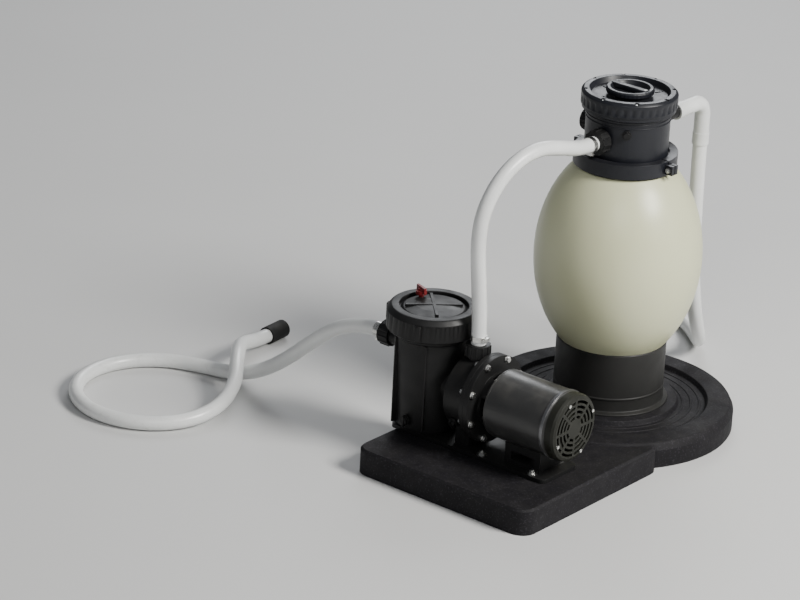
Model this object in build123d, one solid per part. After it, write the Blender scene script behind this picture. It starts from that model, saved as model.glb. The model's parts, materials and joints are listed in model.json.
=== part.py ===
from build123d import *
from math import pi, radians, sqrt, tan
import os

# A sand filter set for an above-ground pool: a pump with its strainer pot on a moulded
# platform, and an egg-shaped filter tank with a rotary valve on a round foot behind it.
# All sizes are in millimetres. The floor is z = 0, the pump's shaft runs along +X with the
# strainer at its -X end, and the tank stands on the +Y side of the pump. The origin is on
# the floor at the middle of the set's footprint.

# ------------------------------------------------------------------ driving dimensions
WALL = 5.0  # thickness of the moulded plastic walls
RUN_GAP = 0.3  # clearance between parts that move past each other
SHAFT_GAP = 0.05  # radial clearance of a running fit
FLOOR_T = 3.0  # the flat skin that closes the underside of the foot and the platform

# tank and its foot
TANK_X, TANK_Y = 25.0, 170.0
FOOT_R, FOOT_H = 300.0, 62.0
GROOVE_IN, GROOVE_OUT, GROOVE_D = 168.0, 232.0, 12.0
PEDESTAL_R, PEDESTAL_TOP = 130.0, 212.0
EGG_R, EGG_HALF, EGG_Z = 197.0, 272.0, 418.0  # the tank's radius, half height and middle
TANK_BOTTOM, TANK_SHOULDER = 166.0, 640.0
COLLAR_R, FLANGE_R, FLANGE_T = 100.0, 111.0, 10.0
TANK_FLANGE_Z = 650.0
SAND_TOP = 440.0
STANDPIPE_R, STANDPIPE_BORE = 16.0, 13.0
LATERAL_R, LATERAL_LEN, LATERAL_COUNT, LATERAL_Z = 7.0, 76.0, 8, 205.0

# valve
VALVE_Z = 664.0  # underside of the valve's clamped flange
NECK_R, CHAMBER_R = 98.0, 89.0
PORT_Z = 722.0
DIVIDER_Z, DIVIDER_T = 701.0, 6.0
NECK_TOP = 788.0
COVER_R, COVER_T = 112.0, 36.0
DISH_R, DISH_D = 88.0, 14.0
KNOB_R, KNOB_T = 56.0, 15.0
STEM_R = 8.0
PRESS_TRAVEL = 4.0
KNOB_LOW = NECK_TOP + COVER_T - DISH_D + PRESS_TRAVEL + 0.6
PIN_R, PIN_Z = 1.6, KNOB_LOW + 5
COVER_SCREWS = 8
SEAL_R = 94.0  # the cover's sealing ring
SPRING_R, SPRING_WIRE, SPRING_PITCH, SPRING_TURNS = 14.0, 1.6, 5.5, 11
GAUGE_TURN, PLUG_TURN, GAUGE_Z = 135.0, -55.0, 745.0

# pump
PUMP_Y, PUMP_Z = -285.0, 190.0
PLATFORM_X0, PLATFORM_X1, PLATFORM_Y0, PLATFORM_Y1 = -200.0, 295.0, -495.0, 20.0
PLATFORM_CORNER = 38.0
POT_X, POT_BOTTOM, POT_TOP = -155.0, 80.0, 336.0
POT_R_LOW, POT_R_HIGH = 77.0, 87.0
THREAD_R = 92.0
LID_R, LID_Z0, LID_Z1 = 108.0, 311.0, 366.0
LID_SEAL_R = 86.5
VOLUTE_X0, VOLUTE_X1, VOLUTE_R = -48.0, 22.0, 86.0
PLATE_R, PLATE_T = 103.0, 12.0
PLATE_BOLTS, BOLT_CIRCLE, PLATE_SEAL_R = 8, 94.0, 82.0
OUTLET_X, OUTLET_TOP = -22.0, 292.0
INLET_X, INLET_Z = -279.0, 256.0
MOTOR_X0, MOTOR_X1, MOTOR_R = 62.0, 236.0, 80.0
END_CAP_X1 = 262.0
SHAFT_R = 7.0
SHAFT_X0, SHAFT_X1 = -22.0, 250.0
PUMP_FOOT_HALF = 66.0

# hose fittings: each port has a stub, a union nut, and a barbed tail that the hose covers
HOSE_R, HOSE_BORE_R = 17.5, 15.5
BARB_R, BARB_LEN, ADAPTER_LEN, TAIL_BORE_R = 15.4, 28.0, 72.0, 11.5
STUB_R = 22.0
NUT_R, NUT_LEN, NUT_OVERLAP = 28.0, 30.0, 12.0
BAND_T, BAND_W = 1.2, 12.0
CUFF_R, CUFF_BORE_R, CUFF_GRIP, CUFF_SOCKET = 22.0, 19.0, 25.0, 40.0

# hose routes, end to end: each hose leaves its fitting straight, then bends
TRANSFER_ROUTE = [
    (-22, -285, 310), (-22, -285, 357), (-22, -292, 426), (-21, -303, 495), (-19, -313, 564),
    (-15, -308, 633), (-8, -273, 695), (0, -216, 738), (9, -146, 754), (18, -77, 740),
    (25, -8, 722), (25, 42, 722),
]
SUCTION_ROUTE = [
    (-297, -285, 256), (-351, -285, 256), (-435, -288, 226), (-508, -291, 166),
    (-575, -296, 104), (-647, -303, 51), (-729, -313, 21), (-818, -328, 17.5),
    (-901, -360, 17.5), (-961, -425, 17.5), (-986, -510, 17.5), (-969, -598, 17.5),
    (-914, -668, 17.5), (-833, -706, 17.5), (-745, -702, 17.5), (-667, -659, 18),
    (-617, -586, 21), (-606, -497, 32), (-634, -415, 54), (-691, -347, 73),
    (-747, -277, 73), (-797, -204, 48), (-822, -119, 22), (-826, -60, 22),
]
RETURN_ROUTE = [
    (25, 475, 640), (25, 475, 582), (25, 477, 500), (25, 480, 418), (24, 486, 335),
    (23, 497, 254), (20, 518, 175), (8, 557, 104), (-21, 612, 51), (-67, 672, 24),
    (-127, 729, 17.5), (-198, 770, 18), (-276, 794, 22), (-334, 798, 22),
]

# ------------------------------------------------------------------ shared helpers
X_DIR, Y_DIR, Z_DIR = (1, 0, 0), (0, 1, 0), (0, 0, 1)
BACK, FRONT, LEFT = (0, 1, 0), (0, -1, 0), (-1, 0, 0)
BASE_ALIGN = (Align.CENTER, Align.CENTER, Align.MIN)


def rod(r, length, at=(0, 0, 0), along=Z_DIR):
    """A cylinder that starts at a point and runs along a direction."""
    return Plane(origin=at, z_dir=along) * Cylinder(r, length, align=BASE_ALIGN)


def pipe(r, bore, length, at=(0, 0, 0), along=Z_DIR):
    return rod(r, length, at, along) - rod(bore, length, at, along)


def turned(points, at=(0, 0, 0), along=Z_DIR):
    """A solid of revolution from (radius, height) points."""
    face = make_face(Plane.XZ * Polyline(*points, close=True))
    return Plane(origin=at, z_dir=along) * revolve(face, axis=Axis.Z)


def block(x0, x1, y0, y1, z0, z1):
    middle = ((x0 + x1) / 2, (y0 + y1) / 2, (z0 + z1) / 2)
    return Pos(*middle) * Box(x1 - x0, y1 - y0, z1 - z0)


def around(count, radius, piece, first=0.0):
    """Copies of a piece round the Z axis."""
    step = 360.0 / count
    return [Rot(0, 0, first + i * step) * Pos(radius, 0, 0) * piece for i in range(count)]


def joined(pieces):
    whole = pieces[0]
    for piece in pieces[1:]:
        whole += piece
    return whole


def group(pieces):
    """Separate solids that share one node."""
    return Compound(children=[solid for piece in pieces for solid in piece.solids()])


def at_tank(shape):
    return Pos(TANK_X, TANK_Y, 0) * shape


def on_pump_axis(shape, x=0.0):
    """Puts a shape made along +Z from the origin on the shaft's line, starting at x."""
    return Plane(origin=(x, PUMP_Y, PUMP_Z), z_dir=X_DIR, x_dir=Z_DIR) * shape


def hex_head(across, height):
    return extrude(RegularPolygon(across / 2, 6, major_radius=False), height)


# ------------------------------------------------------------------ tank and foot
def egg_radius(z, shrink=0.0):
    """The egg's radius at a height."""
    return (EGG_R - shrink) * sqrt(1 - ((z - EGG_Z) / (EGG_HALF - shrink)) ** 2)


def egg_side(low, high, shrink=0.0):
    """The egg's outline between two heights, a smooth curve through points of its ellipse."""
    heights = [low + (high - low) * i / 8 for i in range(9)]
    return Spline(*[(egg_radius(z, shrink), z) for z in heights])


def egg(shrink=0.0, bottom=TANK_BOTTOM, top=TANK_SHOULDER):
    """The tank's egg shape as a solid, cut level at its bottom and top."""
    side = egg_side(bottom, top, shrink)
    axis = Polyline(side @ 1, (0, top), (0, bottom), side @ 0)
    return revolve(make_face(Plane.XZ * (side + axis)), axis=Axis.Z)


def filter_foot():
    top, groove = FOOT_H, FOOT_H - GROOVE_D
    outside = [
        (0, 0), (FOOT_R, 0), (FOOT_R, top - 16), (FOOT_R - 4, top - 7), (FOOT_R - 12, top),
        (GROOVE_OUT + 4, top), (GROOVE_OUT, groove), (GROOVE_IN, groove),
        (GROOVE_IN - 4, top), (0, top),
    ]
    hollow = [
        (0, FLOOR_T), (FOOT_R - WALL, FLOOR_T), (FOOT_R - WALL, top - 18), (FOOT_R - 14, top - WALL),
        (GROOVE_OUT + 7, top - WALL), (GROOVE_OUT + 3, groove - WALL),
        (GROOVE_IN - 3, groove - WALL), (GROOVE_IN - 7, top - WALL), (0, top - WALL),
    ]
    shell = turned(outside) - turned(hollow)
    rib = block(40, FOOT_R - 10, -2, 2, FLOOR_T - 1, FOOT_H - GROOVE_D - 2)
    return at_tank(shell + around(8, 0, rib, first=22.5))


def platform_plan(inset=0.0):
    width = PLATFORM_X1 - PLATFORM_X0 - 2 * inset
    depth = PLATFORM_Y1 - PLATFORM_Y0 - 2 * inset
    middle = ((PLATFORM_X0 + PLATFORM_X1) / 2, (PLATFORM_Y0 + PLATFORM_Y1) / 2)
    plan = Pos(*middle) * RectangleRounded(width, depth, PLATFORM_CORNER - inset)
    return plan - Pos(TANK_X, TANK_Y) * Circle(FOOT_R + 1 + inset)


def pump_platform():
    slab = extrude(platform_plan(), FOOT_H)
    rim = [edge for edge in slab.edges() if edge.center().Z > FOOT_H - 0.1]
    slab = chamfer(rim, 5)
    slab -= Pos(0, 0, FLOOR_T) * extrude(platform_plan(WALL), FOOT_H - WALL - FLOOR_T)
    posts = [rod(10, FOOT_H - 3, (x, y, 2)) for x, y in foot_bolt_places()]
    long_ribs = [block(-190, 285, y - 2, y + 2, 2, FOOT_H - 2) for y in (-430, -205)]
    cross_ribs = [block(x - 2, x + 2, -485, -190, 2, FOOT_H - 2) for x in (-90, 60, 200)]
    slab = joined([slab] + posts + long_ribs + cross_ribs)
    slab -= at_tank(rod(FOOT_R + 1, FOOT_H))
    return slab - joined([rod(4.3, FOOT_H, (x, y, 8)) for x, y in foot_bolt_places()])


def tank_pedestal():
    wall = pipe(PEDESTAL_R, PEDESTAL_R - WALL, PEDESTAL_TOP - FOOT_H, (0, 0, FOOT_H))
    skirt = pipe(PEDESTAL_R + 12, PEDESTAL_R - 2, 5, (0, 0, FOOT_H))
    seat = turned([(112, 190), (PEDESTAL_R, 176), (PEDESTAL_R, PEDESTAL_TOP), (112, PEDESTAL_TOP)])
    body = wall + skirt + seat - egg(-RUN_GAP, bottom=TANK_BOTTOM - 2)
    drain = rod(17, 60, (-PEDESTAL_R + 20, 0, 110), LEFT)
    return at_tank(body - Rot(0, 0, -40) * drain)


def tank_drain():
    """A spigot from the tank's bottom, out through the pedestal's wall."""
    upright = rod(15, 62, (0, 0, 104)) + rod(15, PEDESTAL_R + 20, (0, 0, 110), LEFT)
    bores = rod(10, 62, (0, 0, 110)) + rod(10, PEDESTAL_R + 20, (0, 0, 110), LEFT)
    return at_tank(Rot(0, 0, -40) * (upright - bores))


def drain_cap():
    cap = turned([(0, 0), (19, 0), (19, 20), (17, 23), (0, 23)], (-PEDESTAL_R - 4, 0, 110), LEFT)
    cap -= rod(15.2, 16.2, (-PEDESTAL_R - 4, 0, 110), LEFT)
    return at_tank(Rot(0, 0, -40) * cap)


def tank_shell():
    """The moulded tank: an egg with a flat bottom, and a flanged mouth at its top."""
    skin = WALL + 1
    low, high = TANK_BOTTOM + WALL, TANK_SHOULDER - WALL
    flange_top = TANK_FLANGE_Z + FLANGE_T
    mouth_r = COLLAR_R - 9
    outside = egg_side(TANK_BOTTOM, TANK_SHOULDER)
    inside = egg_side(low, high, skin)
    outer_rim = Polyline(
        outside @ 1, (COLLAR_R, TANK_SHOULDER), (COLLAR_R, TANK_FLANGE_Z), (FLANGE_R, TANK_FLANGE_Z),
        (FLANGE_R, flange_top), (mouth_r, flange_top), (mouth_r, high), inside @ 1,
    )
    base = Polyline(inside @ 0, (10, low), (10, TANK_BOTTOM), outside @ 0)
    profile = make_face(Plane.XZ * (outside + outer_rim + inside + base))
    return at_tank(revolve(profile, axis=Axis.Z))


def laterals():
    """The slotted arms at the bottom of the sand, round a hub."""
    arm = rod(LATERAL_R, LATERAL_LEN, (0, 0, 0), X_DIR)
    slots = [Pos(20 + 9 * i, 0, LATERAL_R) * Box(1.2, 2 * LATERAL_R, 3) for i in range(8)]
    arm -= joined(slots)
    arms = around(LATERAL_COUNT, 24, Pos(0, 0, LATERAL_Z) * arm)
    hub = rod(28, 34, (0, 0, LATERAL_Z - 17))
    socket = rod(STANDPIPE_R, 20, (0, 0, LATERAL_Z - 3))
    return at_tank(joined([hub] + arms) - socket)


def standpipe():
    length = DIVIDER_Z - LATERAL_Z + 3
    return at_tank(pipe(STANDPIPE_R - 0.1, STANDPIPE_BORE, length, (0, 0, LATERAL_Z - 3)))


def sand_bed():
    sand = egg(WALL + 1.5, TANK_BOTTOM + WALL + 0.5, SAND_TOP)
    arm = rod(LATERAL_R + RUN_GAP, LATERAL_LEN + 1, (0, 0, 0), X_DIR)
    taken = around(LATERAL_COUNT, 23, Pos(0, 0, LATERAL_Z) * arm)
    taken.append(rod(28 + RUN_GAP, 34.6, (0, 0, LATERAL_Z - 17.3)))
    taken.append(rod(STANDPIPE_R + RUN_GAP, SAND_TOP, (0, 0, LATERAL_Z)))
    return at_tank(sand - joined(taken))


def flange_seal():
    middle = (TANK_FLANGE_Z + FLANGE_T + VALVE_Z) / 2
    return at_tank(Pos(0, 0, middle) * Torus(COLLAR_R - 2, 2))


def clamp_halves():
    """Two C-shaped halves that draw the valve down on the tank's flange."""
    low, high = TANK_FLANGE_Z, VALVE_Z + FLANGE_T
    channel = [
        (COLLAR_R + 1.5, low - 5), (FLANGE_R + 10, low - 5), (FLANGE_R + 10, high + 5),
        (COLLAR_R + 1.5, high + 5), (COLLAR_R + 1.5, high + 0.2), (FLANGE_R + 0.4, high + 0.2),
        (FLANGE_R + 0.4, low - 0.2), (COLLAR_R + 1.5, low - 0.2),
    ]
    ring = turned(channel)
    reach = FLANGE_R + 30
    lug_plan = block(FLANGE_R + 6, reach, -11, 11, low + 1, high - 1)
    ring += joined([lug_plan, Rot(0, 0, 180) * lug_plan])
    ring -= joined([rod(3.2, 60, (x, -30, (low + high) / 2), Y_DIR) for x in clamp_bolt_places()])
    halves = []
    for near, far in ((-200, -1.5), (1.5, 200)):
        halves.append(at_tank(ring & block(-200, 200, near, far, low - 9, high + 9)))
    return halves


def clamp_bolt_places():
    return (-FLANGE_R - 20, FLANGE_R + 20)


def clamp_bolts():
    middle = (TANK_FLANGE_Z + VALVE_Z + FLANGE_T) / 2
    bolts = []
    for x in clamp_bolt_places():
        shank = rod(3, 34, (x, -18, middle), Y_DIR)
        head = Plane(origin=(x, -11, middle), z_dir=FRONT) * hex_head(11, 5)
        nut = Plane(origin=(x, 11, middle), z_dir=Y_DIR) * hex_head(11, 5)
        bolts.append(at_tank(shank + head + nut))
    return group(bolts)


# ------------------------------------------------------------------ hose fittings
def union_nut(at, along):
    """A ribbed nut over a stub's end, with a lip that holds the tail's flange."""
    nut = rod(NUT_R, NUT_LEN, at, along)
    grips = around(12, NUT_R, rod(2.2, NUT_LEN - 4, (0, 0, 2)))
    nut += Plane(origin=at, z_dir=along) * joined(grips)
    nut -= rod(STUB_R + 0.1, NUT_OVERLAP + 6, at, along)
    return nut - rod(BARB_R + 1.2, NUT_LEN, at, along)


def hose_tail(at, along, length=BARB_LEN):
    """The barbed tail: a flange inside the nut, and a bore of the hose's size."""
    start = Plane(origin=at, z_dir=along)
    flange = rod(STUB_R - 0.5, 5.5)
    neck = rod(BARB_R + 1, NUT_LEN - NUT_OVERLAP - 0.2)
    outer = rod(BARB_R, NUT_LEN - NUT_OVERLAP + length)
    tail = flange + neck + outer - rod(TAIL_BORE_R, 200)
    return start * tail


def fitting_places():
    """Where each port's stub ends, and which way it points."""
    valve_end = NECK_R + 6
    return {
        "inlet": ((INLET_X, PUMP_Y, INLET_Z), LEFT),
        "outlet": ((OUTLET_X, PUMP_Y, OUTLET_TOP), Z_DIR),
        "valve_inlet": ((TANK_X, TANK_Y - valve_end - 6, PORT_Z), FRONT),
        "valve_return": ((TANK_X, TANK_Y + valve_end + 6, PORT_Z), BACK),
    }


def moved_along(at, along, distance):
    return tuple(a + distance * d for a, d in zip(at, along))


def hose_band(at, along):
    """A steel band round the hose's end, with its worm screw's housing."""
    band = pipe(HOSE_R + 0.05 + BAND_T, HOSE_R + 0.05, BAND_W)
    house = Pos(HOSE_R + BAND_T + 2.5, 0, BAND_W / 2) * Box(6, 14, 9)
    screw = Pos(HOSE_R + BAND_T + 2.8, 0, BAND_W / 2) * Rot(90, 0, 0) * Cylinder(3.4, 22)
    housing = house + screw - rod(HOSE_R + 0.05, BAND_W)
    return Plane(origin=at, z_dir=along) * (band + housing)


def return_elbow():
    """A swept elbow that turns the return line down, with a socket at each end."""
    start = Vector(TANK_X, TANK_Y + 190, PORT_Z)
    corner = Vector(RETURN_ROUTE[0][0], RETURN_ROUTE[0][1], PORT_Z)
    end = Vector(*RETURN_ROUTE[0]) + Vector(0, 0, -26)
    path = FilletPolyline(start, corner, end, radius=34)
    outside = sweep(Plane(origin=start, z_dir=BACK) * Circle(18.6), path=path)
    bore = sweep(Plane(origin=start, z_dir=BACK) * Circle(TAIL_BORE_R), path=path)
    collars = rod(20, 26, start, BACK) + rod(20, 30, end, Z_DIR)
    pockets = rod(BARB_R + 0.1, 31, start, BACK) + rod(HOSE_R + 0.05, 26, end, Z_DIR)
    return outside + collars - bore - pockets


# ------------------------------------------------------------------ valve
def valve_body():
    outside = [
        (0, VALVE_Z), (FLANGE_R, VALVE_Z), (FLANGE_R, VALVE_Z + FLANGE_T), (NECK_R, VALVE_Z + FLANGE_T),
        (NECK_R, NECK_TOP - 14), (COVER_R - 3, NECK_TOP - 8), (COVER_R - 3, NECK_TOP), (0, NECK_TOP),
    ]
    body = turned(outside)
    for along in (FRONT, BACK, LEFT):
        body += rod(STUB_R, NECK_R + 12 - 80, moved_along((0, 0, PORT_Z), along, 80), along)
    body -= rod(CHAMBER_R, NECK_TOP, (0, 0, DIVIDER_Z + DIVIDER_T))
    body -= rod(CHAMBER_R - 2, DIVIDER_Z - VALVE_Z, (0, 0, VALVE_Z))
    for along in (FRONT, BACK, LEFT):
        body -= rod(TAIL_BORE_R, 60, moved_along((0, 0, PORT_Z), along, 80), along)
    body += pipe(STANDPIPE_R + 6, STANDPIPE_R, 26, (0, 0, DIVIDER_Z - 24))
    body -= rod(STANDPIPE_R, 30, (0, 0, DIVIDER_Z - 26))
    window = Pos(58, 0, 0) * Cylinder(15, 20)
    body -= joined(around(4, 0, Pos(0, 0, DIVIDER_Z) * window, first=45))
    for turn in (GAUGE_TURN, PLUG_TURN):
        body -= Rot(0, 0, turn) * rod(5.6, 40, (NECK_R - 25, 0, GAUGE_Z), X_DIR)
    screw_holes = around(COVER_SCREWS, COVER_R - 9, rod(2.1, 14, (0, 0, NECK_TOP - 10)))
    return at_tank(body - joined(screw_holes))


def valve_cover():
    low, high = NECK_TOP + 0.4, NECK_TOP + COVER_T
    outside = [
        (0, low), (COVER_R, low), (COVER_R, high - 7), (COVER_R - 2, high - 2), (COVER_R - 6, high),
        (DISH_R + 6, high), (DISH_R, high - DISH_D), (0, high - DISH_D),
    ]
    ceiling = high - DISH_D - 6
    hollow = [(0, low), (CHAMBER_R - 3, low), (CHAMBER_R - 3, low + 9), (70, ceiling), (0, ceiling)]
    cover = turned(outside) - turned(hollow)
    cover += rod(STEM_R + 7, 14, (0, 0, high - DISH_D - 14))
    cover -= joined(around(24, COVER_R + 1.2, Pos(0, 0, low + 16) * Cylinder(2.6, 24)))
    wells = around(COVER_SCREWS, COVER_R - 9, rod(5.2, 8, (0, 0, high - 6)))
    holes = around(COVER_SCREWS, COVER_R - 9, rod(2.3, COVER_T + 2, (0, 0, low - 1)))
    cover -= joined(wells + holes)
    cover -= pipe(SEAL_R + 1.7, SEAL_R - 1.7, 2.9, (0, 0, low))
    return at_tank(cover - rod(STEM_R + SHAFT_GAP, 60, (0, 0, low)))


def cover_screws():
    head_z = NECK_TOP + COVER_T - 6
    screw = rod(4.8, 3.6, (0, 0, head_z)) + rod(2.0, 38, (0, 0, head_z - 38))
    screw -= Pos(0, 0, head_z + 3.6) * Box(6.4, 1.4, 3)
    return group([at_tank(piece) for piece in around(COVER_SCREWS, COVER_R - 9, screw)])


def cover_seal():
    return at_tank(Pos(0, 0, NECK_TOP + 1.6) * Torus(SEAL_R, 1.6))


def spoked_gasket():
    z = DIVIDER_Z + DIVIDER_T
    rim = pipe(84, 79, 4, (0, 0, z)) + pipe(24, 19, 4, (0, 0, z))
    spoke = block(21, 82, -2, 2, z, z + 4)
    return at_tank(rim + around(4, 0, spoke))


def valve_rotor():
    z = DIVIDER_Z + DIVIDER_T + 4 + RUN_GAP
    disc = turned([(0, z), (80, z), (80, z + 8), (74, z + 14), (22, z + 14), (22, z + 20), (0, z + 20)])
    window = Pos(52, 0, z + 6) * Cylinder(17, 40)
    disc -= Rot(0, 0, 45) * window
    disc -= Rot(0, 0, 225) * window
    stem_top = KNOB_LOW + KNOB_T - 3 - PRESS_TRAVEL - 0.5
    stem = rod(STEM_R, stem_top - z, (0, 0, z))
    slot_half, slot_low = PIN_R + 0.1, PIN_Z - PRESS_TRAVEL - PIN_R - 0.2
    stem -= block(-slot_half, slot_half, -20, 20, slot_low, PIN_Z + PIN_R + 0.2)
    return at_tank(disc + stem)


def valve_spring():
    """A coil round the rotor's stem, between the rotor and the cover's boss."""
    low = DIVIDER_Z + DIVIDER_T + 4 + RUN_GAP + 20.2 + SPRING_WIRE
    coil = Helix(SPRING_PITCH, SPRING_PITCH * SPRING_TURNS, SPRING_R)
    wire = Plane(origin=coil @ 0, z_dir=coil % 0) * Circle(SPRING_WIRE)
    return at_tank(Pos(0, 0, low) * sweep(wire, path=coil, is_frenet=True))


def selector_knob():
    """A round knob with a raised grip bar across it and an arrow cut in the bar's end."""
    low, high = KNOB_LOW, KNOB_LOW + KNOB_T
    bowl = turned([
        (0, low), (KNOB_R - 5, low), (KNOB_R, low + 3), (KNOB_R, high - 3), (KNOB_R - 3, high),
        (KNOB_R - 10, high), (KNOB_R - 16, low + 4), (0, low + 4),
    ])
    bar = Pos(0, 0, low + 1) * extrude(SlotOverall(2 * KNOB_R - 8, 18), KNOB_T + 1)
    arrow_at = KNOB_R - 16
    arrow = extrude(Polygon((arrow_at, -5), (arrow_at, 5), (arrow_at + 9, 0), align=None), 2)
    knob = bowl + bar - Pos(0, 0, high + 1.2) * arrow
    knob -= rod(STEM_R + SHAFT_GAP, KNOB_T - 3, (0, 0, low))
    return at_tank(knob - rod(PIN_R, 60, (0, -30, PIN_Z), Y_DIR))


def knob_pin():
    """The pin through the knob and the slot in the stem: it turns the stem, and slides in the slot."""
    return at_tank(rod(PIN_R, 17, (0, -8.5, PIN_Z), Y_DIR))


def gauge_place():
    return Pos(TANK_X, TANK_Y, GAUGE_Z) * Rot(0, 0, GAUGE_TURN)


def gauge_case():
    """The case faces outwards at the end of its threaded stem."""
    stem = rod(5.5, 24, (NECK_R - 8, 0, 0), X_DIR) + Pos(NECK_R + 9, 0, 0) * Box(8, 12, 12)
    outside = [(0, 0), (24, 0), (26, 3), (26, 19), (24.5, 20), (0, 20)]
    case = turned(outside, (NECK_R + 14, 0, 0), X_DIR)
    case -= rod(23, 18, (NECK_R + 17, 0, 0), X_DIR)
    return gauge_place() * (stem + case + rod(1.4, 7, (NECK_R + 16, 0, 0), X_DIR))


def gauge_dial():
    dial = rod(22.8, 1, (NECK_R + 17.1, 0, 0), X_DIR) - rod(1.6, 4, (NECK_R + 16, 0, 0), X_DIR)
    return gauge_place() * dial


def gauge_needle():
    hub = rod(3.2, 2.4, (NECK_R + 19.6, 0, 0), X_DIR)
    hand = Rot(-45, 0, 0) * Pos(NECK_R + 20.4, 0, -8) * Box(0.8, 1.4, 20)
    needle = hub + hand - rod(1.4 + SHAFT_GAP, 3.6, (NECK_R + 19.5, 0, 0), X_DIR)
    return gauge_place() * needle


def gauge_lens():
    return gauge_place() * rod(22.9, 2, (NECK_R + 31.5, 0, 0), X_DIR)


def air_plug():
    """A hexagonal plug in the spare gauge port."""
    plug = rod(5.5, 16, (NECK_R - 8, 0, 0), X_DIR)
    plug += rod(11, 3, (NECK_R + 0.5, 0, 0), X_DIR)
    plug += Plane(origin=(NECK_R + 3, 0, 0), z_dir=X_DIR) * hex_head(15, 8)
    return Pos(TANK_X, TANK_Y, GAUGE_Z) * Rot(0, 0, PLUG_TURN) * plug


def waste_cap():
    at = moved_along((0, 0, PORT_Z), LEFT, NECK_R + 0.5)
    ribs = joined(around(18, 26, rod(1.8, 17, (0, 0, 1))))
    cap = rod(26, 20) + ribs - rod(STUB_R + 0.1, 12)
    return at_tank(Plane(origin=at, z_dir=LEFT) * cap)


# ------------------------------------------------------------------ pump housing
def foot_bolt_places():
    rows = (PUMP_Y - PUMP_FOOT_HALF + 14, PUMP_Y + PUMP_FOOT_HALF - 14)
    return [(x, y) for x in (46, 190) for y in rows]


def pump_housing():
    """The strainer pot and the volute, one casting, with its inlet and outlet stubs."""
    pot = turned([
        (0, POT_BOTTOM), (POT_R_LOW, POT_BOTTOM), (POT_R_HIGH, 296), (THREAD_R, 300),
        (THREAD_R, POT_TOP), (0, POT_TOP),
    ], (POT_X, PUMP_Y, 0))
    volute = on_pump_axis(rod(VOLUTE_R, VOLUTE_X1 - VOLUTE_X0), VOLUTE_X0)
    throat = on_pump_axis(rod(46, 70), VOLUTE_X0 - 60)
    flange = on_pump_axis(rod(PLATE_R, PLATE_T), VOLUTE_X1 - PLATE_T)
    rise = rod(STUB_R, OUTLET_TOP - PUMP_Z, (OUTLET_X, PUMP_Y, PUMP_Z))
    inlet = rod(STUB_R, 62, (INLET_X + 62, PUMP_Y, INLET_Z), LEFT)
    body = joined([pot, volute, throat, flange, rise, inlet])
    rib = block(POT_R_LOW - 6, POT_R_HIGH + 4, -2, 2, POT_BOTTOM + 4, 296)
    for turn in (60, 120, 240, 300):
        body += Pos(POT_X, PUMP_Y, 0) * Rot(0, 0, turn) * rib
    body -= turned([
        (0, POT_BOTTOM + 7), (POT_R_LOW - 6, POT_BOTTOM + 7), (POT_R_HIGH - 6, 296),
        (POT_R_HIGH - 4, POT_TOP), (0, POT_TOP),
    ], (POT_X, PUMP_Y, 0))
    body -= on_pump_axis(rod(VOLUTE_R - 8, VOLUTE_X1 - VOLUTE_X0 - 8), VOLUTE_X0 + 8)
    body -= on_pump_axis(rod(34, 90), VOLUTE_X0 - 70)
    body -= rod(TAIL_BORE_R, OUTLET_TOP, (OUTLET_X, PUMP_Y, PUMP_Z))
    body -= rod(TAIL_BORE_R, 90, (INLET_X + 80, PUMP_Y, INLET_Z), LEFT)
    body -= on_pump_axis(joined(around(PLATE_BOLTS, BOLT_CIRCLE, rod(4.3, 40), 22.5)), VOLUTE_X1 - 30)
    for at, along in drain_places():
        body -= rod(6, 16, moved_along(at, along, -12), along)
    return body


def drain_places():
    """Two drain plugs: one low on the pot and one low on the volute, on the front."""
    pot = (POT_X, PUMP_Y - POT_R_LOW - 1, POT_BOTTOM + 22)
    volute = (VOLUTE_X0 + 24, PUMP_Y - 70, PUMP_Z - 50)
    return [(pot, FRONT), (volute, (0, -0.8137, -0.5812))]


def drain_plugs():
    plugs = []
    for at, along in drain_places():
        plug = rod(5.9, 12, (0, 0, -8)) + rod(12, 5, (0, 0, 2.5)) + rod(8, 12, (0, 0, 2.5))
        plug += Pos(0, 0, 12) * Box(26, 5, 9)
        plugs.append(Plane(origin=at, z_dir=along) * plug)
    return group(plugs)


def strainer_basket():
    """A slatted basket with two finger lugs inside its rim, standing in the pot."""
    floor, top = POT_BOTTOM + 16, 312
    outside = [
        (0, floor), (POT_R_LOW - 12, floor), (POT_R_HIGH - 13, top - 4), (POT_R_HIGH - 9, top - 4),
        (POT_R_HIGH - 9, top), (0, top),
    ]
    inside = [(0, floor + 3), (POT_R_LOW - 15, floor + 3), (POT_R_HIGH - 16, top), (0, top)]
    basket = turned(outside) - turned(inside)
    slot = Pos(POT_R_LOW - 9, 0, (floor + 226) / 2 + 4) * Box(26, 5.5, 226 - floor - 12)
    upper = Pos(POT_R_HIGH - 14, 0, 292) * Box(24, 5.5, 22)
    basket -= joined(around(20, 0, slot, first=9))
    basket -= joined(around(20, 0, upper, first=9))
    basket -= rod(20, 40, (-POT_R_LOW - 20, 0, INLET_Z), X_DIR)
    rows = range(-40, 41, 16)
    basket -= joined([rod(4, 12, (x, y, floor - 4)) for x in rows for y in rows])
    lug = block(POT_R_HIGH - 27, POT_R_HIGH - 12, -12, 12, top - 6, top)
    return Pos(POT_X, PUMP_Y, 0) * (basket + around(2, 0, lug, first=90))


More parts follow.
